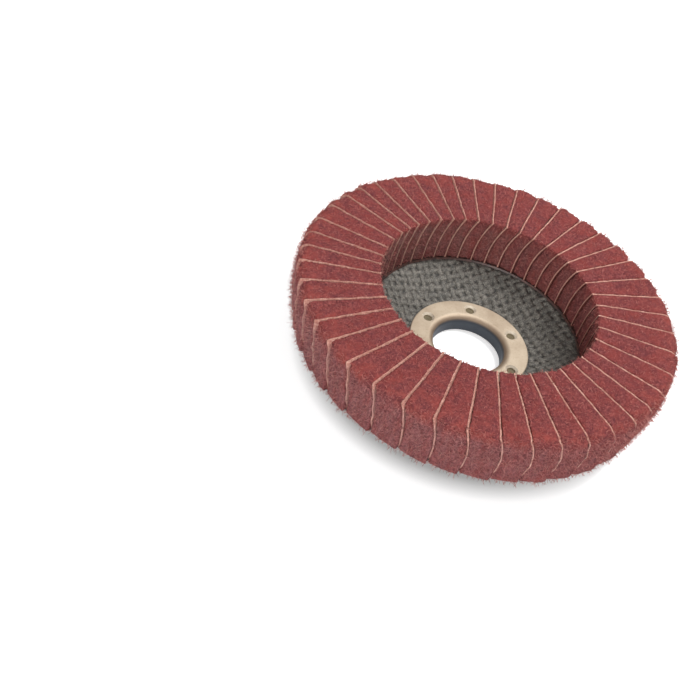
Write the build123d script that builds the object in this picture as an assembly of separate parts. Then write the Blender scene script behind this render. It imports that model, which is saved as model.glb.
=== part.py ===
"""Interleaved flap disc for an angle grinder, 115 mm across with a 22.23 mm bore.

Forty-four thin coated-cloth flaps stand on edge in a ring, with a thick non-woven web flap pressed
between each two. All of them are bonded by a bead of epoxy to a depressed-centre glass-fibre backing
plate, which is moulded round a pressed steel hub ring.

Frame: millimetres, +Z along the bore towards the working face. The origin is the centre of the bore on
the plane of the plate's back face, which is the face that seats on the grinder's flange.
"""

from build123d import *
import os
from math import asin, atan2, cos, degrees, pi, radians, sin, tan

# Overall sizes
disc_diameter = 115.0
bore_diameter = 22.23
overall_height = 27.7

# Hub ring, pressed from one sheet of steel
metal_thickness = 0.9
ring_diameter = 37.7
ring_mouth_radius = 2.2
ring_edge_radius = 0.3
sleeve_end_height = 0.1
sleeve_end_chamfer = 0.3
key_hole_count = 6
key_hole_diameter = 2.8
key_hole_to_edge = 3.35
key_hole_chamfer = 0.6
first_key_hole_angle = 7.8

# Backing plate, moulded glass fibre and resin
plate_thickness = 2.8
plate_inside_disc = 3.2
hub_face_height = 5.6
ring_stands_proud = 0.45
hub_land_width = 1.8
rim_land_width = 0.9
dish_depth = 5.9
dish_bend_radius = 4.6
rim_edge_radius = 0.4
moulding_gap = 0.03

# Epoxy bead that carries the flaps
adhesive_thickness = 0.55
adhesive_inside_flaps = 0.5
adhesive_inside_plate = 0.3
adhesive_slope_width = 0.3

# Flaps
flap_count = 44
flap_ring_inner_diameter = 66.2
coated_flap_thickness = 0.65
coated_flap_overhang = 0.3
upright_height = 3.7
lean_radius = 29.4
flap_skew = 4.0
web_flap_top_drop = 0.4
web_flap_top_slope = 3.0
web_flap_end_inset = 0.4
flap_contact_gap = 0.02

# The flaps crowd towards one side of the ring, and their pitch wanders a little all the way round.
# Each entry is a wave: its size in degrees, how many there are in a turn, and its phase in degrees.
first_flap_angle = 0.8
pitch_wander = ((5.0, 1, 82), (0.76, 2, 311), (0.52, 3, 89), (0.43, 4, 148), (0.39, 10, 13), (0.36, 8, 323))

coated_flaps_per_node = 4

# Sizes that follow from those above
bore_radius = bore_diameter / 2
ring_radius = ring_diameter / 2
sleeve_radius = bore_radius + metal_thickness
mouth_centre_radius = bore_radius + ring_mouth_radius
mouth_centre_height = hub_face_height - ring_mouth_radius
flange_underside = hub_face_height - metal_thickness
key_hole_circle_radius = ring_radius - key_hole_to_edge
plate_hub_height = hub_face_height - ring_stands_proud
plate_top = plate_hub_height + dish_depth
plate_radius = disc_diameter / 2 - plate_inside_disc
flap_foot = plate_top + adhesive_thickness
bend_start = flap_foot + upright_height
disc_radius = disc_diameter / 2
flap_inner_radius = flap_ring_inner_diameter / 2
adhesive_inner_radius = flap_inner_radius - adhesive_inside_flaps
adhesive_outer_radius = plate_radius - adhesive_inside_plate
dish_inner_radius = ring_radius + hub_land_width
dish_outer_radius = adhesive_inner_radius - rim_land_width
flap_pivot_radius = (disc_radius + flap_inner_radius) / 2
lean_angle = asin((overall_height - bend_start) / (lean_radius + coated_flap_thickness / 2))
lean_at_top = lean_radius * (1 - cos(lean_angle))


def section(*lines):
    """The closed outline of these lines, drawn as (radius, height) and stood up in the XZ plane."""
    return Plane.XZ * make_face(Wire(list(lines)))


def hub_ring():
    """Flange, rounded mouth and sleeve in one pressing, with small holes that key it to the plate."""
    mouth = (mouth_centre_radius, mouth_centre_height)
    inner_bend = ring_mouth_radius - metal_thickness
    edge = ring_edge_radius
    chamfer_top = sleeve_end_height + sleeve_end_chamfer
    outline = [
        Line((bore_radius, chamfer_top), (bore_radius, mouth_centre_height)),
        CenterArc(mouth, ring_mouth_radius, 180, -90),
        Line((mouth_centre_radius, hub_face_height), (ring_radius - edge, hub_face_height)),
        CenterArc((ring_radius - edge, hub_face_height - edge), edge, 90, -90),
        Line((ring_radius, hub_face_height - edge), (ring_radius, flange_underside)),
        Line((ring_radius, flange_underside), (mouth_centre_radius, flange_underside)),
        CenterArc(mouth, inner_bend, 90, 90),
        Line((sleeve_radius, mouth_centre_height), (sleeve_radius, sleeve_end_height)),
        Line((sleeve_radius, sleeve_end_height), (bore_radius + sleeve_end_chamfer, sleeve_end_height)),
        Line((bore_radius + sleeve_end_chamfer, sleeve_end_height), (bore_radius, chamfer_top)),
    ]
    ring = revolve(section(*outline), Axis.Z)
    hole_radius = key_hole_diameter / 2
    drill = Cylinder(hole_radius, 4 * metal_thickness)
    countersink = Cone(hole_radius, hole_radius + 2 * key_hole_chamfer, 2 * key_hole_chamfer)
    holes = PolarLocations(key_hole_circle_radius, key_hole_count, first_key_hole_angle)
    at_face = Pos(0, 0, hub_face_height)
    return ring - [at_face * hole * cutter for hole in holes for cutter in (drill, countersink)]


def backing_plate():
    """Depressed-centre plate: a thick hub, a conical dish and a flat rim, moulded round the hub ring."""
    slope = atan2(dish_depth, dish_outer_radius - dish_inner_radius)
    back_of_rim = plate_top - plate_thickness
    back_drop = plate_thickness / cos(slope)
    back_hub_edge = dish_inner_radius + (back_drop - plate_hub_height) / tan(slope)
    back_rim_start = back_hub_edge + back_of_rim / tan(slope)
    seat_radius = ring_radius + moulding_gap
    seat_height = flange_underside - moulding_gap
    plate_bore = sleeve_radius + moulding_gap
    corners = [
        (plate_bore, 0),
        (plate_bore, seat_height),
        (seat_radius, seat_height),
        (seat_radius, plate_hub_height),
        (dish_inner_radius, plate_hub_height),
        (dish_outer_radius, plate_top),
        (plate_radius, plate_top),
        (plate_radius, back_of_rim),
        (back_rim_start, back_of_rim),
        (back_hub_edge, 0),
    ]
    bend_inside = ring_mouth_radius - metal_thickness - moulding_gap
    hub_bend_radius = min(dish_bend_radius, 0.9 * hub_land_width / tan(slope / 2))
    radii = {
        (plate_bore, seat_height): bend_inside,
        (dish_inner_radius, plate_hub_height): hub_bend_radius,
        (dish_outer_radius, plate_top): dish_bend_radius,
        (plate_radius, plate_top): rim_edge_radius,
        (plate_radius, back_of_rim): rim_edge_radius,
        (back_rim_start, back_of_rim): dish_bend_radius,
        (back_hub_edge, 0): dish_bend_radius,
    }
    outline = make_face(Polyline(*corners, close=True))
    for place, radius in radii.items():
        corner = outline.vertices().sort_by_distance((*place, 0))[0]
        outline = fillet(corner, radius)
    return revolve(Plane.XZ * outline, Axis.Z)


def adhesive_ring():
    """The cured epoxy bead between the plate's rim and the feet of the flaps."""
    inner, outer = adhesive_inner_radius, adhesive_outer_radius
    outline = make_face(
        Polyline(
            (inner, plate_top),
            (outer, plate_top),
            (outer - adhesive_slope_width, flap_foot),
            (inner + adhesive_slope_width, flap_foot),
            close=True,
        )
    )
    return revolve(Plane.XZ * outline, Axis.Z)


def flap_angle(index):
    """Where a coated flap stands round the bore, in degrees."""
    turn = index / flap_count
    wander = sum(size * sin(2 * pi * waves * turn + radians(phase)) for size, waves, phase in pitch_wander)
    return first_flap_angle + 360 * turn + wander


def along_flap(outline, start, end, bearing):
    """A flap section, drawn as (anticlockwise, height) and pushed out from one radius to another.

    The flap is skewed about the middle of its length, so that its outer end trails clockwise.
    """
    length = extrude(Plane.YZ.offset(start - flap_pivot_radius) * outline, end - start)
    return Rot(0, 0, bearing) * Pos(flap_pivot_radius, 0, 0) * Rot(0, 0, -flap_skew) * length


def coated_flap(index):
    """Abrasive cloth: upright at its foot, then bent over towards the clockwise side."""
    half = coated_flap_thickness / 2
    centre = (-lean_radius, bend_start)
    lean = degrees(lean_angle)
    outer_face, inner_face = lean_radius + half, lean_radius - half
    top_outer = (outer_face * cos(lean_angle) - lean_radius, bend_start + outer_face * sin(lean_angle))
    top_inner = (inner_face * cos(lean_angle) - lean_radius, bend_start + inner_face * sin(lean_angle))
    outline = make_face(
        Wire(
            [
                Line((-half, flap_foot), (half, flap_foot)),
                Line((half, flap_foot), (half, bend_start)),
                CenterArc(centre, outer_face, 0, lean),
                Line(top_outer, top_inner),
                CenterArc(centre, inner_face, lean, -lean),
                Line((-half, bend_start), (-half, flap_foot)),
            ]
        )
    )
    return along_flap(outline, flap_inner_radius - coated_flap_overhang, disc_radius, flap_angle(index))


def side_of_flap(index, side):
    """All the room on one side of a coated flap: side is 1 for anticlockwise and -1 for clockwise."""
    half = coated_flap_thickness / 2 + flap_contact_gap
    face = lean_radius + side * half
    sweep = 1.5 * lean_angle
    below = flap_foot - 1
    far = side * lean_radius / 2
    crest = (face * cos(sweep) - lean_radius, bend_start + face * sin(sweep))
    outline = make_face(
        Wire(
            [
                Line((far, below), (side * half, below)),
                Line((side * half, below), (side * half, bend_start)),
                CenterArc((-lean_radius, bend_start), face, 0, degrees(sweep)),
                Line(crest, (crest[0] + far, crest[1])),
                Line((crest[0] + far, crest[1]), (far, below)),
            ]
        )
    )
    return along_flap(outline, flap_inner_radius / 2, disc_radius * 1.2, flap_angle(index))


def web_flap(index):
    """Non-woven web that fills the wedge up to the next coated flap. Its top falls to the clockwise side."""
    middle = (flap_angle(index) + flap_angle(index + 1)) / 2
    reach = lean_radius / 3
    rise = reach * tan(radians(web_flap_top_slope))
    centre_x = -lean_at_top
    centre_top = overall_height - web_flap_top_drop
    outline = make_face(
        Polyline(
            (centre_x - reach, flap_foot),
            (centre_x + 1.5 * reach, flap_foot),
            (centre_x + 1.5 * reach, centre_top + 1.5 * rise),
            (centre_x - reach, centre_top - rise),
            close=True,
        )
    )
    blank = along_flap(outline, flap_inner_radius, disc_radius - web_flap_end_inset, middle)
    trimmed = blank & side_of_flap(index, 1)
    return trimmed & side_of_flap(index + 1, -1)


def write(node, *solids):
    """One STEP file for a node, which holds one solid or a group of like ones."""
    shape = solids[0] if len(solids) == 1 else Compound(children=list(solids))
    export_step(shape, f"parts/{node}.step")


os.makedirs("parts", exist_ok=True)
write("backing_plate", backing_plate())
write("hub_ring", hub_ring())
write("adhesive_ring", adhesive_ring())
for index in range(flap_count):
    write(f"web_flap_{index + 1:02d}", *web_flap(index).solids())
for first in range(0, flap_count, coated_flaps_per_node):
    group = range(first, min(first + coated_flaps_per_node, flap_count))
    write(f"coated_flaps_{group[0] + 1:02d}_{group[-1] + 1:02d}", *[coated_flap(index) for index in group])
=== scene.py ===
"""Flap disc: the looks of its web flaps, coated flaps, backing plate and hub ring, on a white table."""

import math

import bmesh
import bpy
import numpy as np
from mathutils import Matrix, Vector


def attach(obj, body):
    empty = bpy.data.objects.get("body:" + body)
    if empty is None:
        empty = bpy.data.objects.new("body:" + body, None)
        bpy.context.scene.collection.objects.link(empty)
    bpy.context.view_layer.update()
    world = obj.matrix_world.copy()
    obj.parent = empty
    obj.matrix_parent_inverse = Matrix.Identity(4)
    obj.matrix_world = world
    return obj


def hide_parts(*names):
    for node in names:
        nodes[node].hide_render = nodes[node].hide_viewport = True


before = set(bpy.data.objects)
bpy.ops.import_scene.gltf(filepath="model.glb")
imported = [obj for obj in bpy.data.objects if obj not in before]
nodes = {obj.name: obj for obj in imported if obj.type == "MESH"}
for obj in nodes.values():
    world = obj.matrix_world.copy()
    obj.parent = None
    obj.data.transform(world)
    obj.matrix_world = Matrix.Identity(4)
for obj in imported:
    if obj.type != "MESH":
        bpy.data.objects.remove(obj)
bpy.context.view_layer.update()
rng = np.random.default_rng(22)
MM = 0.001

# Sizes of the disc, in millimetres, as its CAD part has them
FLAPS = 44
DISC_RADIUS = 57.5
FLAP_INNER_RADIUS = 33.1
PIVOT_RADIUS = (DISC_RADIUS + FLAP_INNER_RADIUS) / 2
FLAP_SKEW = math.radians(4.0)
TOP = 27.7
FLAP_FOOT = 11.6
BEND_START = 15.3
UPRIGHT = BEND_START - FLAP_FOOT
LEAN_RADIUS = 29.4
FIRST_FLAP = 0.8
PITCH_WANDER = ((5.0, 1, 82), (0.76, 2, 311), (0.52, 3, 89), (0.43, 4, 148), (0.39, 10, 13), (0.36, 8, 323))
PLATE_RADIUS = 54.3
PLATE_HUB = 5.15
PLATE_RIM = 11.05
PLATE_THICKNESS = 2.8
DISH_INNER = 20.65
DISH_OUTER = 31.7
DISH_BEND = 4.6
RING_FACE = 5.6
RING_RADIUS = 18.85
BORE_RADIUS = 11.115
KEY_HOLES = 6
KEY_HOLE_CIRCLE = 15.5
KEY_HOLE_RADIUS = 1.4
FIRST_KEY_HOLE = 7.8

# How worn and how loose the web is, with lengths in millimetres; two numbers are the least and the most
WEB_VOXEL = 0.6
END_BAND = 4.5
TOP_BAND = 5.5
TOP_RISE = 0.4
WEB_SWELL = 0.16
END_PUSH = (0.3, 0.8)
END_RECESS = (0.1, 0.4)
PLEATED_FLAPS = range(0, 19)
PLEAT_RECESS = (1.6, 2.8)
WEB_CORNER_REACH = (2.6, 3.6)
WEB_CORNER_DEPTH = (2.2, 3.2)
FOOT_DROOP = 2.7
FOOT_TUCK = 1.7
LUMP_SIZE, LUMP_STRENGTH = 3.5, 0.9
CURL_SIZE, CURL_STRENGTH = 0.9, 1.1
END_SKIN = 1.6
FIBRE_COUNT = 420
FIBRE_RADIUS = 0.058
FIBRE_TILT = 0.45
FIBRE_ROOT = 0.15
END_FIBRES = (0.7, 2.2)
FACE_FIBRES = (0.5, 1.3)

# The coated flaps, in millimetres; the flat size of one flap is its length along the radius and its width
CLOTH_THICKNESS = 0.38
GRIT_THICKNESS = 0.22
HALF_SHEET = 0.33
INNER_OVERHANG = 0.05
SHEET_CORNER = (2.2, 3.0)
CRISP_FLAPS = range(21, 31)
CRISP_CORNER = (0.5, 0.9)
SHEET_FOOT_IN = 0.9
SHEET_FOOT_UP = 1.3
THREAD_COUNT = 26
THREAD_RADIUS = 0.05
THREAD_LENGTHS = (0.3, 0.7)
LEAN_ARC = LEAN_RADIUS * math.asin((TOP - BEND_START) / (LEAN_RADIUS + HALF_SHEET))
FLAP_BLANK = (DISC_RADIUS - FLAP_INNER_RADIUS + INNER_OVERHANG, UPRIGHT + LEAN_ARC)

# The plate's glass cloth, in millimetres; a strand's ring goes sideways from its middle, and upwards
WEAVE_PITCH = 2.4
WEAVE_TURN = math.radians(-6)
WEAVE_RISE = 0.06
WEAVE_LIFT = 0.03
STRAND_RING = ((-1.08, -0.03), (0, 0.06), (1.08, -0.03), (1.03, -0.25), (-1.03, -0.25))

# The camera, the table and the lamps: places in metres, the lens in millimetres and the power in watts
CAMERA_RIGHT = Vector((0.94301489, -0.26739798, 0.19804354))
CAMERA_DOWN = Vector((-0.05600863, -0.71423352, -0.69766289))
CAMERA_FORWARD = Vector((0.32800299, 0.64681435, -0.68850943))
CAMERA_PLACE = (-0.13971, -0.19101, 0.20753 + RING_FACE * MM)
CAMERA_SENSOR, CAMERA_LENS = 36, 53.5
TABLE_SIZE = 6.0
LAMP_TARGET = Vector((0, 0, 0.015))
OVERHEAD_LAMP = {"place": (0.40, 0.1, 0.87), "size": 0.32, "power": 8.1}
FRONT_LAMP = {"place": (-0.55, -0.75, 0.42), "size": 0.5, "power": 6.8}


# ---------------------------------------------------------------- places on the disc

def flap_bearing(index):
    """Where a coated flap stands round the bore, in radians."""
    turn = index / FLAPS
    wander = sum(size * math.sin(2 * math.pi * waves * turn + math.radians(phase))
                 for size, waves, phase in PITCH_WANDER)
    return math.radians(FIRST_FLAP + 360 * turn + wander)


def lean_at(height):
    """How far clockwise a flap has leant at a height, in millimetres."""
    rise = np.clip(height - BEND_START, 0, LEAN_RADIUS * 0.9)
    return LEAN_RADIUS - np.sqrt(LEAN_RADIUS**2 - rise**2)


def to_flap(points, bearing):
    """Points in the disc's frame as (along the flap, anticlockwise of it, height)."""
    c, s = math.cos(bearing), math.sin(bearing)
    x = points[:, 0] * c + points[:, 1] * s - PIVOT_RADIUS
    y = -points[:, 0] * s + points[:, 1] * c
    c, s = math.cos(FLAP_SKEW), math.sin(FLAP_SKEW)
    return np.stack([x * c - y * s + PIVOT_RADIUS, x * s + y * c, points[:, 2]], 1)


def from_flap(points, bearing):
    """The same the other way."""
    x, y = points[:, 0] - PIVOT_RADIUS, points[:, 1]
    c, s = math.cos(FLAP_SKEW), math.sin(FLAP_SKEW)
    x, y = x * c + y * s + PIVOT_RADIUS, -x * s + y * c
    c, s = math.cos(bearing), math.sin(bearing)
    return np.stack([x * c - y * s, x * s + y * c, points[:, 2]], 1)


def eased(value, start, over):
    """Rises smoothly from 0 at start to 1 at start + over. A negative over makes it rise downwards."""
    t = np.clip((value - start) / over, 0, 1)
    return t * t * (3 - 2 * t)


def worn_corner(local, reach, depth):
    """Rounds the outer top corner of a flap: points in the corner's square move on to its quarter circle."""
    out = (local[:, 0] - (DISC_RADIUS - reach)) / reach
    up = (local[:, 2] - (TOP - depth)) / depth
    inside = (out > 0) & (up > 0)
    share = np.where(inside, np.maximum(out, up) / np.maximum(np.hypot(out, up), 1e-6), 1)
    local[:, 0] += np.where(inside, out * (share - 1) * reach, 0)
    local[:, 2] += np.where(inside, up * (share - 1) * depth, 0)


def tuck_foot(local):
    """Draws the foot of a flap's outer end in and down, over the edge of the plate."""
    near_end = eased(local[:, 0], DISC_RADIUS - 7.0, 6.5)
    local[:, 0] -= FOOT_TUCK * near_end * eased(local[:, 2], FLAP_FOOT + 9.0, -10.0)
    beyond = eased(local[:, 0] + FOOT_TUCK, PLATE_RADIUS, 1.6)
    local[:, 2] -= FOOT_DROOP * beyond * eased(local[:, 2], FLAP_FOOT + 5.0, -5.0)


# ---------------------------------------------------------------- working on meshes

def deselect():
    bpy.ops.object.select_all(action="DESELECT")


def make_active(piece):
    deselect()
    piece.select_set(True)
    bpy.context.view_layer.objects.active = piece


def apply_modifier(piece, kind, **values):
    make_active(piece)
    modifier = piece.modifiers.new(kind.lower(), kind)
    for name, value in values.items():
        setattr(modifier, name, value)
    bpy.ops.object.modifier_apply(modifier=modifier.name)


def read_points(piece):
    """A mesh's points, in millimetres."""
    points = np.empty(len(piece.data.vertices) * 3, np.float32)
    piece.data.vertices.foreach_get("co", points)
    return points.reshape(-1, 3).astype(float) / MM


def write_points(piece, points):
    piece.data.vertices.foreach_set("co", (points * MM).astype(np.float32).ravel())
    piece.data.update()


def shade_smooth(piece):
    piece.data.polygons.foreach_set("use_smooth", [True] * len(piece.data.polygons))


def link_object(name, mesh):
    piece = bpy.data.objects.new(name, mesh)
    bpy.context.scene.collection.objects.link(piece)
    return piece


def new_piece(name, points, faces, material):
    mesh = bpy.data.meshes.new(name)
    mesh.from_pydata([tuple(p) for p in points * MM], [], faces)
    mesh.materials.append(material)
    return link_object(name, mesh)


def merged_copy(node, name):
    """A closed copy of a CAD node's shape, to be worked on as a new piece."""
    mesh = nodes[node].data.copy()
    mesh.name = name
    mesh.materials.clear()
    piece = link_object(name, mesh)
    work = bmesh.new()
    work.from_mesh(mesh)
    bmesh.ops.remove_doubles(work, verts=work.verts, dist=2e-6)
    work.to_mesh(mesh)
    work.free()
    return piece


def join(pieces):
    deselect()
    for piece in pieces:
        piece.select_set(True)
    bpy.context.view_layer.objects.active = pieces[0]
    bpy.ops.object.join()
    return pieces[0]


def place_on_disc(piece, slot, *replaced):
    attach(piece, "root")
    if replaced:
        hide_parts(*replaced)


# ---------------------------------------------------------------- shader groups

def connect(tree, socket, value):
    """Sets a socket to a plain value, or links another node's output to it."""
    if isinstance(value, (int, float, tuple)):
        socket.default_value = value
    else:
        tree.links.new(value, socket)


def group_node(tree, group, vector, **values):
    node = tree.nodes.new("ShaderNodeGroup")
    node.node_tree = group
    for name, value in values.items():
        node.inputs[name.replace("_", " ")].default_value = value
    tree.links.new(vector, node.inputs["Vector"])
    return node.outputs


def start_group(name, inputs, outputs):
    group = bpy.data.node_groups.new(name, "ShaderNodeTree")
    for socket, kind, value in inputs:
        made = group.interface.new_socket(socket, in_out="INPUT", socket_type=kind)
        if value is not None:
            made.default_value = value
    for socket, kind in outputs:
        group.interface.new_socket(socket, in_out="OUTPUT", socket_type=kind)
    return group, group.nodes.new("NodeGroupInput").outputs, group.nodes.new("NodeGroupOutput").inputs


def math_node(tree, operation, *values, clamp=False):
    node = tree.nodes.new("ShaderNodeMath")
    node.operation = operation
    node.use_clamp = clamp
    for socket, value in zip(node.inputs, values):
        connect(tree, socket, value)
    return node.outputs[0]


def times(tree, *values):
    """The product of two or more values."""
    product = values[0]
    for value in values[1:]:
        product = math_node(tree, "MULTIPLY", product, value)
    return product


def mix_colours(tree, factor, a, b):
    node = tree.nodes.new("ShaderNodeMix")
    node.data_type = "RGBA"
    for index, value in ((0, factor), (6, a), (7, b)):
        connect(tree, node.inputs[index], value)
    return node.outputs[2]


def noise(tree, vector, scale, detail=3.0, roughness=0.6, distortion=0.0):
    node = tree.nodes.new("ShaderNodeTexNoise")
    settings = {"Scale": scale, "Detail": detail, "Roughness": roughness, "Distortion": distortion}
    for name, value in settings.items():
        connect(tree, node.inputs[name], value)
    tree.links.new(vector, node.inputs["Vector"])
    return node.outputs["Fac"]


def spread(tree, value, low, high):
    """Stretches a value's range from low to high over 0 to 1."""
    node = tree.nodes.new("ShaderNodeMapRange")
    node.inputs["From Min"].default_value = low
    node.inputs["From Max"].default_value = high
    tree.links.new(value, node.inputs["Value"])
    return node.outputs[0]


def colour(red, green, blue):
    """A colour written as it looks on a screen, 0 to 255."""
    def linear(v):
        v /= 255
        return v / 12.92 if v <= 0.04045 else ((v + 0.055) / 1.055) ** 2.4
    return (linear(red), linear(green), linear(blue), 1.0)


def radius_of(tree, place):
    """How far a point is from the bore's axis, in metres, and the point's own X, Y and Z."""
    parts = tree.nodes.new("ShaderNodeSeparateXYZ")
    tree.links.new(place, parts.inputs[0])
    x, y, z = parts.outputs
    return math_node(tree, "SQRT", math_node(tree, "ADD", times(tree, x, x), times(tree, y, y))), x, y, z


def mottle_group():
    """Three tones broken up at two sizes: fine strands, and patches a few millimetres across."""
    group, start, end = start_group(
        "mottle",
        [("Vector", "NodeSocketVector", None), ("Fine Scale", "NodeSocketFloat", 1500.0),
         ("Patch Scale", "NodeSocketFloat", 260.0), ("Dark", "NodeSocketColor", None),
         ("Middle", "NodeSocketColor", None), ("Light", "NodeSocketColor", None),
         ("Patch", "NodeSocketColor", None), ("Patch Strength", "NodeSocketFloat", 0.5)],
        [("Color", "NodeSocketColor"), ("Height", "NodeSocketFloat")],
    )
    fine = noise(group, start["Vector"], start["Fine Scale"], 4.0, 0.75, 0.6)
    patches = noise(group, start["Vector"], start["Patch Scale"], 3.0, 0.6)
    tone = mix_colours(group, spread(group, fine, 0.36, 0.52), start["Dark"], start["Middle"])
    tone = mix_colours(group, spread(group, fine, 0.50, 0.68), tone, start["Light"])
    amount = times(group, spread(group, patches, 0.42, 0.66), start["Patch Strength"])
    connect(group, end["Color"], mix_colours(group, amount, tone, start["Patch"]))
    connect(group, end["Height"], fine)
    return group


def weave_group():
    """Square weave: how near each point is to the middle of a strand, across both sets of strands."""
    group, start, end = start_group(
        "square weave",
        [("Vector", "NodeSocketVector", None), ("Pitch", "NodeSocketFloat", 0.0026)],
        [("Strand", "NodeSocketFloat"), ("Gap", "NodeSocketFloat")],
    )
    parts = group.nodes.new("ShaderNodeSeparateXYZ")
    group.links.new(start["Vector"], parts.inputs[0])
    ridges = []
    for axis in ("X", "Y"):
        turn = times(group, math_node(group, "DIVIDE", parts.outputs[axis], start["Pitch"]), 2 * math.pi)
        ridges.append(math_node(group, "MULTIPLY_ADD", math_node(group, "COSINE", turn), 0.5, 0.5))
    strand = math_node(group, "MAXIMUM", *ridges)
    connect(group, end["Strand"], strand)
    connect(group, end["Gap"], math_node(group, "SUBTRACT", 1.0, strand, clamp=True))
    return group


def ends_group():
    """Streaks of dust on the outer and inner walls of the flap ring, laid on more thickly towards -X as painted
    light that makes that side paler, and a painted highlight along its outer top edge.
    """
    group, start, end = start_group(
        "flap ends",
        [("Vector", "NodeSocketVector", None), ("Amount", "NodeSocketFloat", 0.5)],
        [("Ends", "NodeSocketFloat"), ("Inner", "NodeSocketFloat"), ("Edge Highlight", "NodeSocketFloat")],
    )
    vector = start["Vector"]
    radius, x, _, z = radius_of(group, vector)
    outer = spread(group, radius, (DISC_RADIUS - 4.2) * MM, (DISC_RADIUS - 1.6) * MM)
    inner = spread(group, radius, (FLAP_INNER_RADIUS + 1.6) * MM, (FLAP_INNER_RADIUS + 0.4) * MM)
    below = spread(group, z, (TOP - 0.4) * MM, (TOP - 3.4) * MM)
    squash = group.nodes.new("ShaderNodeMapping")
    squash.inputs["Scale"].default_value = (1, 1, 0.16)
    group.links.new(vector, squash.inputs["Vector"])
    streaks = noise(group, squash.outputs[0], 520.0, 4.0, 0.7)
    uneven = math_node(group, "MULTIPLY_ADD", spread(group, streaks, 0.36, 0.62), 0.65, 0.35)
    # painted light: the dust share grows towards -X, so that side is paler and the +X side darker and redder
    sideways = math_node(group, "MULTIPLY_ADD", spread(group, x, 0.03, -0.04), 0.65, 0.42)
    dust_and_side_light = times(group, times(group, below, uneven), times(group, sideways, start["Amount"]))
    connect(group, end["Ends"], times(group, outer, dust_and_side_light))
    connect(group, end["Inner"], times(group, inner, dust_and_side_light))
    # painted highlight: patchy pale orange near the outer top edge, where the web catches the light
    near_edge = spread(group, radius, (DISC_RADIUS - 9.0) * MM, (DISC_RADIUS - 1.5) * MM)
    near_top = spread(group, z, (TOP - 4.5) * MM, (TOP - 1.2) * MM)
    patchy = spread(group, noise(group, vector, 320.0, 3.0, 0.6), 0.44, 0.60)
    connect(group, end["Edge Highlight"], times(group, near_edge, near_top, patchy))
    return group


MOTTLE = mottle_group()
WEAVE = weave_group()
ENDS = ends_group()


# ---------------------------------------------------------------- materials

def start_material(name):
    """A new material with its Principled shader's inputs and its own Object coordinates."""
    material = bpy.data.materials.new(name)
    material.use_nodes = True
    tree = material.node_tree
    place = tree.nodes.new("ShaderNodeTexCoord").outputs["Object"]
    return material, tree, tree.nodes["Principled BSDF"].inputs, place


def add_bump(tree, shader, height, distance, strength):
    bump = tree.nodes.new("ShaderNodeBump")
    bump.inputs["Distance"].default_value = distance
    bump.inputs["Strength"].default_value = strength
    tree.links.new(height, bump.inputs["Height"])
    tree.links.new(bump.outputs["Normal"], shader["Normal"])


def web_material():
    """Maroon nylon fibre, with grit and resin between, dusty on its worn ends, with a painted highlight along
    its outer top edge.
    """
    material, tree, shader, place = start_material("nonwoven web")
    fibre = group_node(tree, MOTTLE, place, Fine_Scale=1500.0, Patch_Scale=230.0, Patch_Strength=0.5,
                       Dark=colour(88, 43, 46), Middle=colour(122, 58, 58), Light=colour(154, 88, 84),
                       Patch=colour(140, 60, 54))
    ends = group_node(tree, ENDS, place, Amount=0.7)
    lit = spread(tree, noise(tree, place, 420.0, 2.0, 0.5), 0.30, 0.46)
    dusk = times(tree, math_node(tree, "SUBTRACT", 1.0, lit), 0.45)
    strand = spread(tree, fibre["Height"], 0.36, 0.64)
    outer_dust = mix_colours(tree, strand, colour(80, 48, 52), colour(164, 112, 112))
    inner_dust = mix_colours(tree, strand, colour(84, 64, 60), colour(136, 112, 104))
    tone = mix_colours(tree, dusk, fibre["Color"], colour(98, 48, 54))
    # painted highlight along the outer top edge of the web
    tone = mix_colours(tree, times(tree, ends["Edge Highlight"], 0.3), tone, colour(176, 86, 74))
    tone = mix_colours(tree, ends["Ends"], tone, outer_dust)
    connect(tree, shader["Base Color"], mix_colours(tree, ends["Inner"], tone, inner_dust))
    shader["Roughness"].default_value = 0.92
    shader["Specular IOR Level"].default_value = 0.2
    add_bump(tree, shader, fibre["Height"], 0.0006, 0.8)
    return material


def strand_material():
    """The loose fibres that stand off the web's faces."""
    material, tree, shader, place = start_material("web strands")
    ends = group_node(tree, ENDS, place, Amount=0.6)
    varied = spread(tree, noise(tree, place, 900.0, 2.0), 0.35, 0.65)
    tone = mix_colours(tree, varied, colour(118, 54, 52), colour(186, 112, 102))
    either_end = math_node(tree, "ADD", ends["Ends"], ends["Inner"])
    connect(tree, shader["Base Color"], mix_colours(tree, either_end, tone, colour(168, 126, 122)))
    shader["Roughness"].default_value = 0.7
    return material


def cloth_material():
    """The tan cotton backing of a coated flap, and its cut edge."""
    material, tree, shader, place = start_material("flap cloth")
    cotton = group_node(tree, MOTTLE, place, Fine_Scale=1600.0, Patch_Scale=300.0, Patch_Strength=0.4,
                        Dark=colour(156, 104, 92), Middle=colour(196, 144, 128), Light=colour(226, 184, 168),
                        Patch=colour(172, 108, 96))
    threads = group_node(tree, WEAVE, place, Pitch=0.00055)
    ends = group_node(tree, ENDS, place, Amount=0.75)
    tone = mix_colours(tree, times(tree, threads["Gap"], 0.35), cotton["Color"], colour(150, 88, 74))
    tone = mix_colours(tree, ends["Ends"], tone, colour(168, 126, 120))
    connect(tree, shader["Base Color"], mix_colours(tree, ends["Inner"], tone, colour(134, 108, 98)))
    shader["Roughness"].default_value = 0.85
    add_bump(tree, shader, threads["Strand"], 0.0001, 0.6)
    return material


def grit_material():
    """The abrasive side of a coated flap: brown grain in resin."""
    material, tree, shader, place = start_material("flap grit")
    cells = tree.nodes.new("ShaderNodeTexVoronoi")
    cells.inputs["Scale"].default_value = 3200.0
    tree.links.new(place, cells.inputs["Vector"])
    grain = cells.outputs["Distance"]
    tone = mix_colours(tree, spread(tree, grain, 0.1, 0.7), colour(120, 58, 44), colour(74, 32, 28))
    connect(tree, shader["Base Color"], tone)
    shader["Roughness"].default_value = 0.6
    add_bump(tree, shader, grain, 0.00015, 0.7)
    return material


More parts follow.
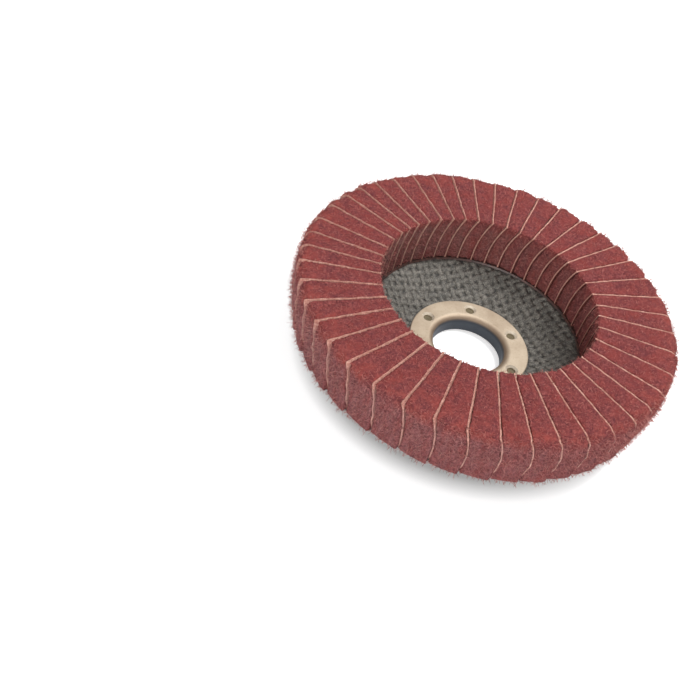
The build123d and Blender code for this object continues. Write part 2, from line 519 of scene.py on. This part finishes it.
def plate_material(name, dark, light):
    """Glass cloth pressed in dark resin, olive where the resin fills the hub ring's key holes."""
    material, tree, shader, place = start_material(name)
    turn = tree.nodes.new("ShaderNodeMapping")
    turn.inputs["Rotation"].default_value = (0, 0, WEAVE_TURN)
    tree.links.new(place, turn.inputs["Vector"])
    weave = group_node(tree, WEAVE, turn.outputs[0], Pitch=WEAVE_PITCH * MM)
    dust = noise(tree, place, 750.0, 5.0, 0.75)
    cloud = noise(tree, place, 170.0, 3.0, 0.6)
    fine = noise(tree, place, 2600.0, 2.0, 0.6)
    radius, _, _, z = radius_of(tree, place)
    smudges = times(tree, spread(tree, cloud, 0.44, 0.66), 0.45)
    pale_specks = times(tree, spread(tree, fine, 0.52, 0.70), 0.6)
    dark_specks = times(tree, spread(tree, fine, 0.46, 0.30), 0.7)
    gaps = times(tree, spread(tree, weave["Gap"], 0.3, 1.0), spread(tree, dust, 0.64, 0.42), 0.7)
    keyed = times(tree, spread(tree, radius, RING_RADIUS * MM, (RING_RADIUS - 0.1) * MM),
                  spread(tree, z, (RING_FACE - 1.4) * MM, (RING_FACE - 1.2) * MM))
    tone = mix_colours(tree, spread(tree, dust, 0.36, 0.64), dark, light)
    tone = mix_colours(tree, smudges, tone, dark)
    tone = mix_colours(tree, pale_specks, tone, colour(164, 157, 147))
    tone = mix_colours(tree, dark_specks, tone, colour(40, 39, 37))
    tone = mix_colours(tree, gaps, tone, colour(34, 35, 33))
    olive = mix_colours(tree, dust, colour(66, 58, 40), colour(124, 110, 80))
    connect(tree, shader["Base Color"], mix_colours(tree, keyed, tone, olive))
    dull = spread(tree, dust, 0.2, 0.8)
    connect(tree, shader["Roughness"], math_node(tree, "MULTIPLY_ADD", dull, 0.35, 0.5))
    grain = math_node(tree, "ADD", dust, times(tree, fine, 0.4))
    add_bump(tree, shader, math_node(tree, "MULTIPLY_ADD", weave["Strand"], 0.4, grain), 0.0003, 0.8)
    return material


def zinc_material():
    """Dull zinc plate, faintly yellow, with a painted highlight round each key hole's dimpled lip, painted
    shade on the rolled lip of the bore, and painted shade on the bore wall.
    """
    material, tree, shader, place = start_material("zinc plate")
    cloud = noise(tree, place, 120.0, 4.0, 0.6)
    speck = noise(tree, place, 1400.0, 3.0, 0.7)
    radius, x, y, _ = radius_of(tree, place)
    specks = times(tree, spread(tree, speck, 0.52, 0.7), 0.35)
    # painted shade: the rolled lip into the bore darkened to brown, as it turns away from the light
    painted_roll_shade = times(tree, spread(tree, radius, (BORE_RADIUS + 2.1) * MM, (BORE_RADIUS + 0.7) * MM), 0.65)
    # painted shade: the bore wall dark blue-grey, as it lies in shade
    in_bore = spread(tree, radius, (BORE_RADIUS + 0.45) * MM, (BORE_RADIUS + 0.1) * MM)
    painted_bore_shade = mix_colours(tree, cloud, colour(44, 48, 56), colour(88, 94, 102))
    # painted highlight: a near-white ring on the dimpled lip round each key hole
    turned = math_node(tree, "SUBTRACT", math_node(tree, "ARCTAN2", y, x), math.radians(FIRST_KEY_HOLE))
    sideways = times(tree, math_node(tree, "PINGPONG", turned, math.pi / KEY_HOLES), KEY_HOLE_CIRCLE * MM)
    outwards = math_node(tree, "SUBTRACT", radius, KEY_HOLE_CIRCLE * MM)
    squares = math_node(tree, "ADD", times(tree, sideways, sideways), times(tree, outwards, outwards))
    from_hole = math_node(tree, "SQRT", squares)
    painted_hole_highlight = spread(tree, from_hole, (KEY_HOLE_RADIUS + 0.65) * MM, (KEY_HOLE_RADIUS + 0.5) * MM)
    tone = mix_colours(tree, spread(tree, cloud, 0.35, 0.65), colour(168, 151, 130), colour(190, 175, 154))
    tone = mix_colours(tree, specks, tone, colour(146, 126, 102))
    tone = mix_colours(tree, painted_roll_shade, tone, colour(122, 97, 76))
    tone = mix_colours(tree, in_bore, tone, painted_bore_shade)
    tone = mix_colours(tree, times(tree, painted_hole_highlight, 0.5), tone, colour(240, 230, 212))
    connect(tree, shader["Base Color"], tone)
    shader["Metallic"].default_value = 0.55
    connect(tree, shader["Roughness"], math_node(tree, "MULTIPLY_ADD", cloud, 0.25, 0.44))
    add_bump(tree, shader, speck, 0.00006, 0.5)
    return material


def epoxy_material():
    """Cured adhesive, brown and slightly glossy, with dust stuck to it."""
    material, tree, shader, place = start_material("cured epoxy")
    cloud = noise(tree, place, 600.0, 4.0, 0.7)
    tone = mix_colours(tree, spread(tree, cloud, 0.35, 0.65), colour(46, 34, 32), colour(92, 58, 50))
    connect(tree, shader["Base Color"], tone)
    shader["Roughness"].default_value = 0.45
    add_bump(tree, shader, cloud, 0.0003, 0.6)
    return material


web_look = web_material()
strand_look = strand_material()
cloth_look = cloth_material()
grit_look = grit_material()
plate_look = plate_material("resin and glass", colour(42, 43, 40), colour(78, 77, 73))
glass_look = plate_material("glass strands", colour(70, 69, 64), colour(130, 126, 118))


# ---------------------------------------------------------------- loose fibres

def crimped_fibre(name, bends):
    """One three-sided fibre, a unit tall with a unit radius, drawn up bend by bend to a point."""
    deselect()
    bpy.ops.mesh.primitive_circle_add(vertices=3, radius=1, fill_type="NGON")
    fibre = bpy.context.object
    fibre.name = name
    bpy.ops.object.mode_set(mode="EDIT")
    bpy.ops.mesh.select_all(action="SELECT")
    for bend in bends:
        bpy.ops.mesh.extrude_region_move(TRANSFORM_OT_translate={"value": bend})
    bpy.ops.mesh.merge(type="CENTER")
    bpy.ops.object.mode_set(mode="OBJECT")
    points = np.array([v.co for v in fibre.data.vertices])
    triangles = []
    for face in fibre.data.polygons:
        corners = list(face.vertices)
        triangles += [(corners[0], corners[i], corners[i + 1]) for i in range(1, len(corners) - 1)]
    bpy.data.objects.remove(fibre)
    return points, np.array(triangles)


FIBRES = [
    crimped_fibre("hooked", [(4, 0, 0.35), (6, 2, 0.35), (8, 3, 0.3)]),
    crimped_fibre("waved", [(3, 2, 0.4), (-4, 3, 0.35), (3, 5, 0.25)]),
    crimped_fibre("looped", [(5, 0, 0.45), (7, 1, 0.25), (8, -2, -0.15)]),
]


def scatter_fibres(name, places, normals, spans, radius, material):
    """Fibres rooted at places, each turned, tilted and sized by chance; a span is a least and a most length."""
    all_points, all_faces, count = [], [], 0
    spans = np.broadcast_to(spans, (len(places), 2))
    for root, normal, span in zip(places, normals, spans):
        points, triangles = FIBRES[rng.integers(len(FIBRES))]
        axis = normal + rng.normal(0, FIBRE_TILT, 3)
        axis /= np.linalg.norm(axis)
        side = np.cross(axis, rng.normal(0, 1, 3))
        side /= np.linalg.norm(side)
        basis = np.stack([side, np.cross(axis, side), axis])
        shape = points * (radius, radius, rng.uniform(*span))
        all_points.append(shape @ basis + root - FIBRE_ROOT * axis)
        all_faces.append(triangles + count)
        count += len(points)
    return new_piece(name, np.concatenate(all_points), np.concatenate(all_faces).tolist(), material)


# ---------------------------------------------------------------- web flaps

def clouds(name, size):
    texture = bpy.data.textures.new(name, "CLOUDS")
    texture.noise_scale = size * MM
    texture.noise_depth = 2
    return texture


lumps = clouds("lumps", LUMP_SIZE)
curls = clouds("curls", CURL_SIZE)


def wear_web(piece, index, middle, pitch):
    """Makes a web flap's outer end uneven, rounds its corner, tucks its foot and roughens its free skin."""
    points = read_points(piece)
    local = to_flap(points, middle)
    width = np.hypot(points[:, 0], points[:, 1]) * pitch
    across = 0.5 + (local[:, 1] + lean_at(local[:, 2])) / width
    outer = eased(local[:, 0], DISC_RADIUS - END_BAND, END_BAND)
    upper = eased(local[:, 2], TOP - TOP_BAND, 5.0)
    push = rng.uniform(*END_PUSH)
    recess = rng.uniform(*(PLEAT_RECESS if index in PLEATED_FLAPS else END_RECESS))
    proud = eased(across, 0, rng.uniform(0.35, 0.55))
    local[:, 0] += outer * (push * proud * (0.6 + 0.4 * upper) - recess * (1 - proud) * (0.1 + 0.9 * upper))
    local[:, 2] += upper * TOP_RISE
    worn_corner(local, rng.uniform(*WEB_CORNER_REACH), rng.uniform(*WEB_CORNER_DEPTH))
    tuck_foot(local)
    lean = lean_at(local[:, 2])
    local[:, 1] = (local[:, 1] + lean) * (1 + WEB_SWELL / np.maximum(width, 3)) - lean
    write_points(piece, from_flap(local, middle))

    open_top = eased(local[:, 2], TOP - 2.6, 1.0)
    open_outside = eased(local[:, 0], DISC_RADIUS - 1.9, 0.8)
    open_inside = eased(local[:, 0], FLAP_INNER_RADIUS + 1.0, -0.7)
    off_cloth = eased(np.minimum(across, 1 - across) * width, 0.45, 0.9)
    bare = np.maximum(np.maximum(open_top, open_outside), open_inside) * (0.15 + 0.85 * off_cloth)
    tenths = np.round(bare * 10).astype(int)
    group = piece.vertex_groups.new(name="bare")
    for step in range(11):
        group.add(np.nonzero(tenths == step)[0].tolist(), step / 10, "REPLACE")
    for texture, strength in ((lumps, LUMP_STRENGTH), (curls, CURL_STRENGTH)):
        apply_modifier(piece, "DISPLACE", texture=texture, texture_coords="LOCAL", strength=strength * MM,
                       vertex_group="bare")


def web_fuzz(piece, name, middle):
    """Loose fibres on a web flap's free skin, with more on its outer end, its foot and its inner top edge."""
    faces = piece.data.polygons
    centres = np.array([f.center for f in faces]) / MM
    normals = np.array([f.normal for f in faces])
    along, _, height = to_flap(centres, middle).T
    at_end = along > DISC_RADIUS - END_SKIN
    bare = (height > TOP - 2.4) | at_end | (along < FLAP_INNER_RADIUS + 0.6)
    radial = centres[:, :2] / np.linalg.norm(centres[:, :2], axis=1)[:, None]
    faces_out = (normals[:, 2] > 0.4) | (np.abs((normals[:, :2] * radial).sum(1)) > 0.5)
    on_foot = (along > PLATE_RADIUS + 0.6) & (height < FLAP_FOOT + 1.5)
    above_foot = bare & (height > FLAP_FOOT + 0.5)
    inner_brow = (along < FLAP_INNER_RADIUS + 0.9) & (height > TOP - 1.4)
    chosen = np.nonzero((above_foot & faces_out) | (on_foot & ((normals[:, 2] < -0.3) | faces_out)))[0]
    chance = (np.where(at_end, 2.4, 1.0) + 2.0 * on_foot + 2.0 * inner_brow)[chosen]
    picked = rng.choice(chosen, min(FIBRE_COUNT, len(chosen)), replace=False, p=chance / chance.sum())
    spans = np.where((at_end | on_foot)[picked, None], END_FIBRES, FACE_FIBRES)
    return scatter_fibres(name + "_fuzz", centres[picked], normals[picked], spans, FIBRE_RADIUS, strand_look)


def web_flap(index):
    """A springy wedge of fibre: its top and ends are rough, and its outer end is rounded like a scallop."""
    name = f"web_{index + 1:02d}"
    node = f"web_flap_{index + 1:02d}"
    piece = merged_copy(node, name)
    apply_modifier(piece, "REMESH", mode="VOXEL", voxel_size=WEB_VOXEL * MM)
    here, there = flap_bearing(index), flap_bearing(index + 1)
    middle = (here + there) / 2
    wear_web(piece, index, middle, there - here)
    piece.data.materials.append(web_look)
    shade_smooth(piece)
    place_on_disc(join([piece, web_fuzz(piece, name, middle)]), "nonwoven_web", node)


for index in range(FLAPS):
    web_flap(index)


# ---------------------------------------------------------------- coated flaps

def part_layers(sheet, count, bearing):
    """Parts a thick sheet into grit and cloth. Its first count points are on one of its two sides."""
    work = bmesh.new()
    work.from_mesh(sheet.data)
    work.verts.ensure_lookup_table()
    through = [e for e in work.edges if (e.verts[0].index < count) != (e.verts[1].index < count)]
    clockwise = Vector((math.sin(bearing), -math.cos(bearing), 0))
    grit_first = any(f.verts[0].index < count for f in work.faces if f.normal.dot(clockwise) > 0.6)
    cut = bmesh.ops.subdivide_edges(work, edges=through, cuts=1, use_grid_fill=True)
    middle = {v for v in cut["geom_inner"] if isinstance(v, bmesh.types.BMVert)}
    grit_share = GRIT_THICKNESS / (CLOTH_THICKNESS + GRIT_THICKNESS)
    for vert in middle:
        ends = [e.other_vert(vert) for e in vert.link_edges if e.other_vert(vert) not in middle]
        on_grit = [v for v in ends if (v.index < count) == grit_first][0]
        on_cloth = [v for v in ends if v is not on_grit][0]
        vert.co = on_grit.co.lerp(on_cloth.co, grit_share)
    for face in work.faces:
        sides = [(v.index < count) == grit_first for v in face.verts if v not in middle]
        face.material_index = 1 if all(sides) else 0
    work.to_mesh(sheet.data)
    work.free()


def coated_sheet(index):
    """One bent rectangle of abrasive cloth, its edges a little uneven where they were cut."""
    deselect()
    bpy.ops.mesh.primitive_grid_add(x_subdivisions=30, y_subdivisions=20, size=1)
    sheet = bpy.context.object
    grid = read_points(sheet) * MM + 0.5
    along, up = FLAP_INNER_RADIUS - INNER_OVERHANG + grid[:, 0] * FLAP_BLANK[0], grid[:, 1]
    travel = up * FLAP_BLANK[1]
    turned = np.clip(travel - UPRIGHT, 0, None) / LEAN_RADIUS
    height = FLAP_FOOT + np.minimum(travel, UPRIGHT) + LEAN_RADIUS * np.sin(turned)
    phase = rng.uniform(0, 6.3, 4)
    wave = 0.07 * np.sin(along * 0.35 + phase[0]) + 0.03 * np.sin(along * 1.7 + phase[1])
    side = -LEAN_RADIUS * (1 - np.cos(turned)) + wave * up
    height = height + up**6 * (0.06 * np.sin(along * 1.1 + phase[2]) - 0.06)
    along = along + eased(along, DISC_RADIUS - 1.0, 1.0) * (0.15 * np.sin(height * 1.2 + phase[3]) - 0.15)
    local = np.stack([along, side, height], 1)
    worn_corner(local, *rng.uniform(*(CRISP_CORNER if index in CRISP_FLAPS else SHEET_CORNER), 2))
    tuck_foot(local)
    by_foot = eased(height, FLAP_FOOT + 4.0, -4.5) * eased(along, PLATE_RADIUS - 2.0, 2.5)
    local[:, 0] -= SHEET_FOOT_IN * by_foot
    local[:, 2] += SHEET_FOOT_UP * by_foot
    write_points(sheet, from_flap(local, flap_bearing(index)))
    count = len(sheet.data.vertices)
    apply_modifier(sheet, "SOLIDIFY", thickness=(CLOTH_THICKNESS + GRIT_THICKNESS) * MM, offset=0.0)
    sheet.data.materials.append(cloth_look)
    sheet.data.materials.append(grit_look)
    part_layers(sheet, count, flap_bearing(index) - FLAP_SKEW)
    return sheet


def frayed_threads(index):
    """Cut thread ends that stand off the top edge of a coated flap."""
    along = rng.uniform(FLAP_INNER_RADIUS, DISC_RADIUS - 0.5, THREAD_COUNT)
    side = np.full(THREAD_COUNT, -float(lean_at(TOP)) + 0.2)
    top = np.stack([along, side, np.full(THREAD_COUNT, TOP - 0.3)], 1)
    roots = from_flap(top, flap_bearing(index))
    upwards = np.tile([0.0, 0.0, 1.0], (THREAD_COUNT, 1))
    return scatter_fibres(f"threads_{index}", roots, upwards, THREAD_LENGTHS, THREAD_RADIUS, cloth_look)


# A piece here is four flaps, so its flat size is four flaps end to end
for first in range(0, FLAPS, 4):
    sheets = [make(index) for index in range(first, first + 4) for make in (coated_sheet, frayed_threads)]
    piece = join(sheets)
    node = f"coated_flaps_{first + 1:02d}_{first + 4:02d}"
    piece.name = piece.data.name = f"coated_{first + 1:02d}_{first + 4:02d}"
    place_on_disc(piece, "coated_cloth", node)


# ---------------------------------------------------------------- backing plate and hub ring

def plate_face(radius, back=False):
    """The height of the plate's front or back face at a radius."""
    slope = (PLATE_RIM - PLATE_HUB) / (DISH_OUTER - DISH_INNER)
    tilt = math.atan(slope)
    if back:
        drop = PLATE_THICKNESS / math.cos(tilt)
        inner = DISH_INNER + (drop - PLATE_HUB) / slope
        outer = inner + (PLATE_RIM - PLATE_THICKNESS) / slope
        low, high = 0.0, PLATE_RIM - PLATE_THICKNESS
    else:
        inner, outer, low, high = DISH_INNER, DISH_OUTER, PLATE_HUB, PLATE_RIM
    reach = DISH_BEND * math.tan(tilt / 2)
    height = np.clip(low + (radius - inner) * slope, low, high)
    near = radius - (inner - reach)
    height = np.where((near > 0) & (radius < inner + reach * math.cos(tilt)),
                      low + DISH_BEND - np.sqrt(np.maximum(DISH_BEND**2 - near**2, 0)), height)
    near = (outer + reach) - radius
    return np.where((near > 0) & (radius > outer - reach * math.cos(tilt)),
                    high - DISH_BEND + np.sqrt(np.maximum(DISH_BEND**2 - near**2, 0)), height)


def strand_points(t, lane, direction, back):
    """Rings of points along one glass strand, at the distances t from the middle of its lane."""
    out = -1 if back else 1
    weave = np.cos(math.pi * (t / WEAVE_PITCH + lane + direction)) * WEAVE_RISE
    wobble = 0.22 * np.sin(t * 0.35 + lane * 1.7 + direction) + 0.06 * np.sin(t * 2.1 + lane)
    lines = []
    for shift, lift in STRAND_RING:
        across = lane * WEAVE_PITCH + shift + wobble
        level = plate_face(np.hypot(t, across), back) + out * (lift + weave + WEAVE_LIFT)
        lines.append(np.stack([t, across, level] if direction == 0 else [across, t, level], 1))
    return np.stack(lines, 1).reshape(-1, 3)


def strand_faces(base, rings):
    """The skin and the two ends of a strand whose first point is number base."""
    sides = len(STRAND_RING)
    faces = []
    for i in range(rings - 1):
        for j in range(sides):
            a, b = base + sides * i + j, base + sides * i + (j + 1) % sides
            faces.append((a, b, b + sides, a + sides))
    faces.append(tuple(base + j for j in reversed(range(sides))))
    faces.append(tuple(base + sides * (rings - 1) + j for j in range(sides)))
    return faces


def glass_cloth(name, inner, outer, step, back=False):
    """Flat glass strands laid over and under each other, pressed on to the plate's face."""
    points, faces, count = [], [], 0
    run = np.arange(-outer, outer + step, step)
    lanes = int(outer / WEAVE_PITCH)
    for direction in (0, 1):
        for lane in range(-lanes, lanes + 1):
            radius = np.hypot(run, lane * WEAVE_PITCH)
            inside = (radius > inner) & (radius < outer)
            edges = np.nonzero(np.diff(np.concatenate([[0], inside.astype(int), [0]])))[0].reshape(-1, 2)
            for first, last in edges:
                if last - first < 3:
                    continue
                points.append(strand_points(run[first:last], lane, direction, back))
                faces += strand_faces(count, last - first)
                count += len(points[-1])
    points = np.concatenate(points)
    c, s = math.cos(-WEAVE_TURN), math.sin(-WEAVE_TURN)
    points[:, :2] = points[:, :2] @ np.array([[c, s], [-s, c]])
    cloth = new_piece(name, points, faces, glass_look)
    work = bmesh.new()
    work.from_mesh(cloth.data)
    bmesh.ops.recalc_face_normals(work, faces=work.faces)
    work.to_mesh(cloth.data)
    work.free()
    shade_smooth(cloth)
    place_on_disc(cloth, "glass_fibre_plate")


glass_cloth("front_glass_cloth", RING_RADIUS + 0.4, FLAP_INNER_RADIUS - 0.3, 0.6)
glass_cloth("back_glass_cloth", 18.0, PLATE_RADIUS - 0.8, 1.2, back=True)

looks = {"backing_plate": plate_look, "hub_ring": zinc_material(), "adhesive_ring": epoxy_material()}
for node, look in looks.items():
    for material_slot in nodes[node].material_slots:
        material_slot.material = look


# ---------------------------------------------------------------- table, light and camera

def seen_or_mirrored(tree):
    """1 in what the camera sees straight on or in a gloss, and 0 in the light that falls on things."""
    rays = tree.nodes.new("ShaderNodeLightPath").outputs
    return math_node(tree, "MAXIMUM", rays["Is Camera Ray"], rays["Is Glossy Ray"])


def backdrop_material():
    """Pale paint that takes the disc's shadow, and a glow seen by the camera that keeps the table white. The
    glow is faint under the disc, painting a darker shadow there, and strong under the bore, painting light on
    the floor seen through it.
    """
    material = bpy.data.materials.new("white table")
    material.use_nodes = True
    tree = material.node_tree
    tree.nodes.clear()
    out = tree.nodes.new("ShaderNodeOutputMaterial")
    paint = tree.nodes.new("ShaderNodeBsdfDiffuse")
    paint.inputs["Color"].default_value = (0.8, 0.8, 0.8, 1)
    glow = tree.nodes.new("ShaderNodeEmission")
    radius = radius_of(tree, tree.nodes.new("ShaderNodeTexCoord").outputs["Object"])[0]
    beyond_rim = spread(tree, radius, (DISC_RADIUS - 9.0) * MM, (DISC_RADIUS - 2.0) * MM)
    under_bore = spread(tree, radius, (BORE_RADIUS + 2.0) * MM, (BORE_RADIUS + 0.5) * MM)
    # painted shadow and painted light: almost no glow under the disc, full glow beyond its rim and under its
    # bore, rising further out
    clear = math_node(tree, "MULTIPLY_ADD", math_node(tree, "MAXIMUM", beyond_rim, under_bore), 0.55, 0.02)
    distant = times(tree, spread(tree, radius, 0.15, 0.6), 0.5)
    strength = times(tree, seen_or_mirrored(tree), math_node(tree, "ADD", clear, distant))
    connect(tree, glow.inputs["Strength"], strength)
    both = tree.nodes.new("ShaderNodeAddShader")
    connect(tree, both.inputs[0], paint.outputs[0])
    connect(tree, both.inputs[1], glow.outputs[0])
    connect(tree, out.inputs["Surface"], both.outputs[0])
    return material


def make_table():
    deselect()
    bpy.ops.mesh.primitive_plane_add(size=TABLE_SIZE, location=(0, 0, -0.0002))
    table = bpy.context.object
    table.name = "table"
    table.data.materials.append(backdrop_material())


def make_world():
    """A white room, less than half as bright to the disc as it looks to the camera."""
    world = bpy.data.worlds.new("studio")
    bpy.context.scene.world = world
    world.use_nodes = True
    tree = world.node_tree
    background = tree.nodes["Background"].inputs
    background["Color"].default_value = (1, 1, 1, 1)
    connect(tree, background["Strength"], math_node(tree, "MULTIPLY_ADD", seen_or_mirrored(tree), 0.56, 0.44))


def make_lamp(name, place, size, power):
    light = bpy.data.lights.new(name, "AREA")
    light.size = size
    light.energy = power
    lamp = link_object(name, light)
    lamp.location = place
    lamp.rotation_euler = (LAMP_TARGET - Vector(place)).to_track_quat("-Z", "Y").to_euler()


def make_camera():
    camera = link_object("camera", bpy.data.cameras.new("camera"))
    turn = Matrix((CAMERA_RIGHT, -CAMERA_DOWN, -CAMERA_FORWARD)).transposed().to_4x4()
    camera.matrix_world = Matrix.Translation(CAMERA_PLACE) @ turn
    camera.data.sensor_width = CAMERA_SENSOR
    camera.data.lens = CAMERA_LENS
    camera.data.clip_start = 0.01
    bpy.context.scene.camera = camera


make_table()
make_world()
make_lamp("overhead", **OVERHEAD_LAMP)
make_lamp("front", **FRONT_LAMP)
make_camera()
bpy.context.scene.view_settings.view_transform = "Standard"
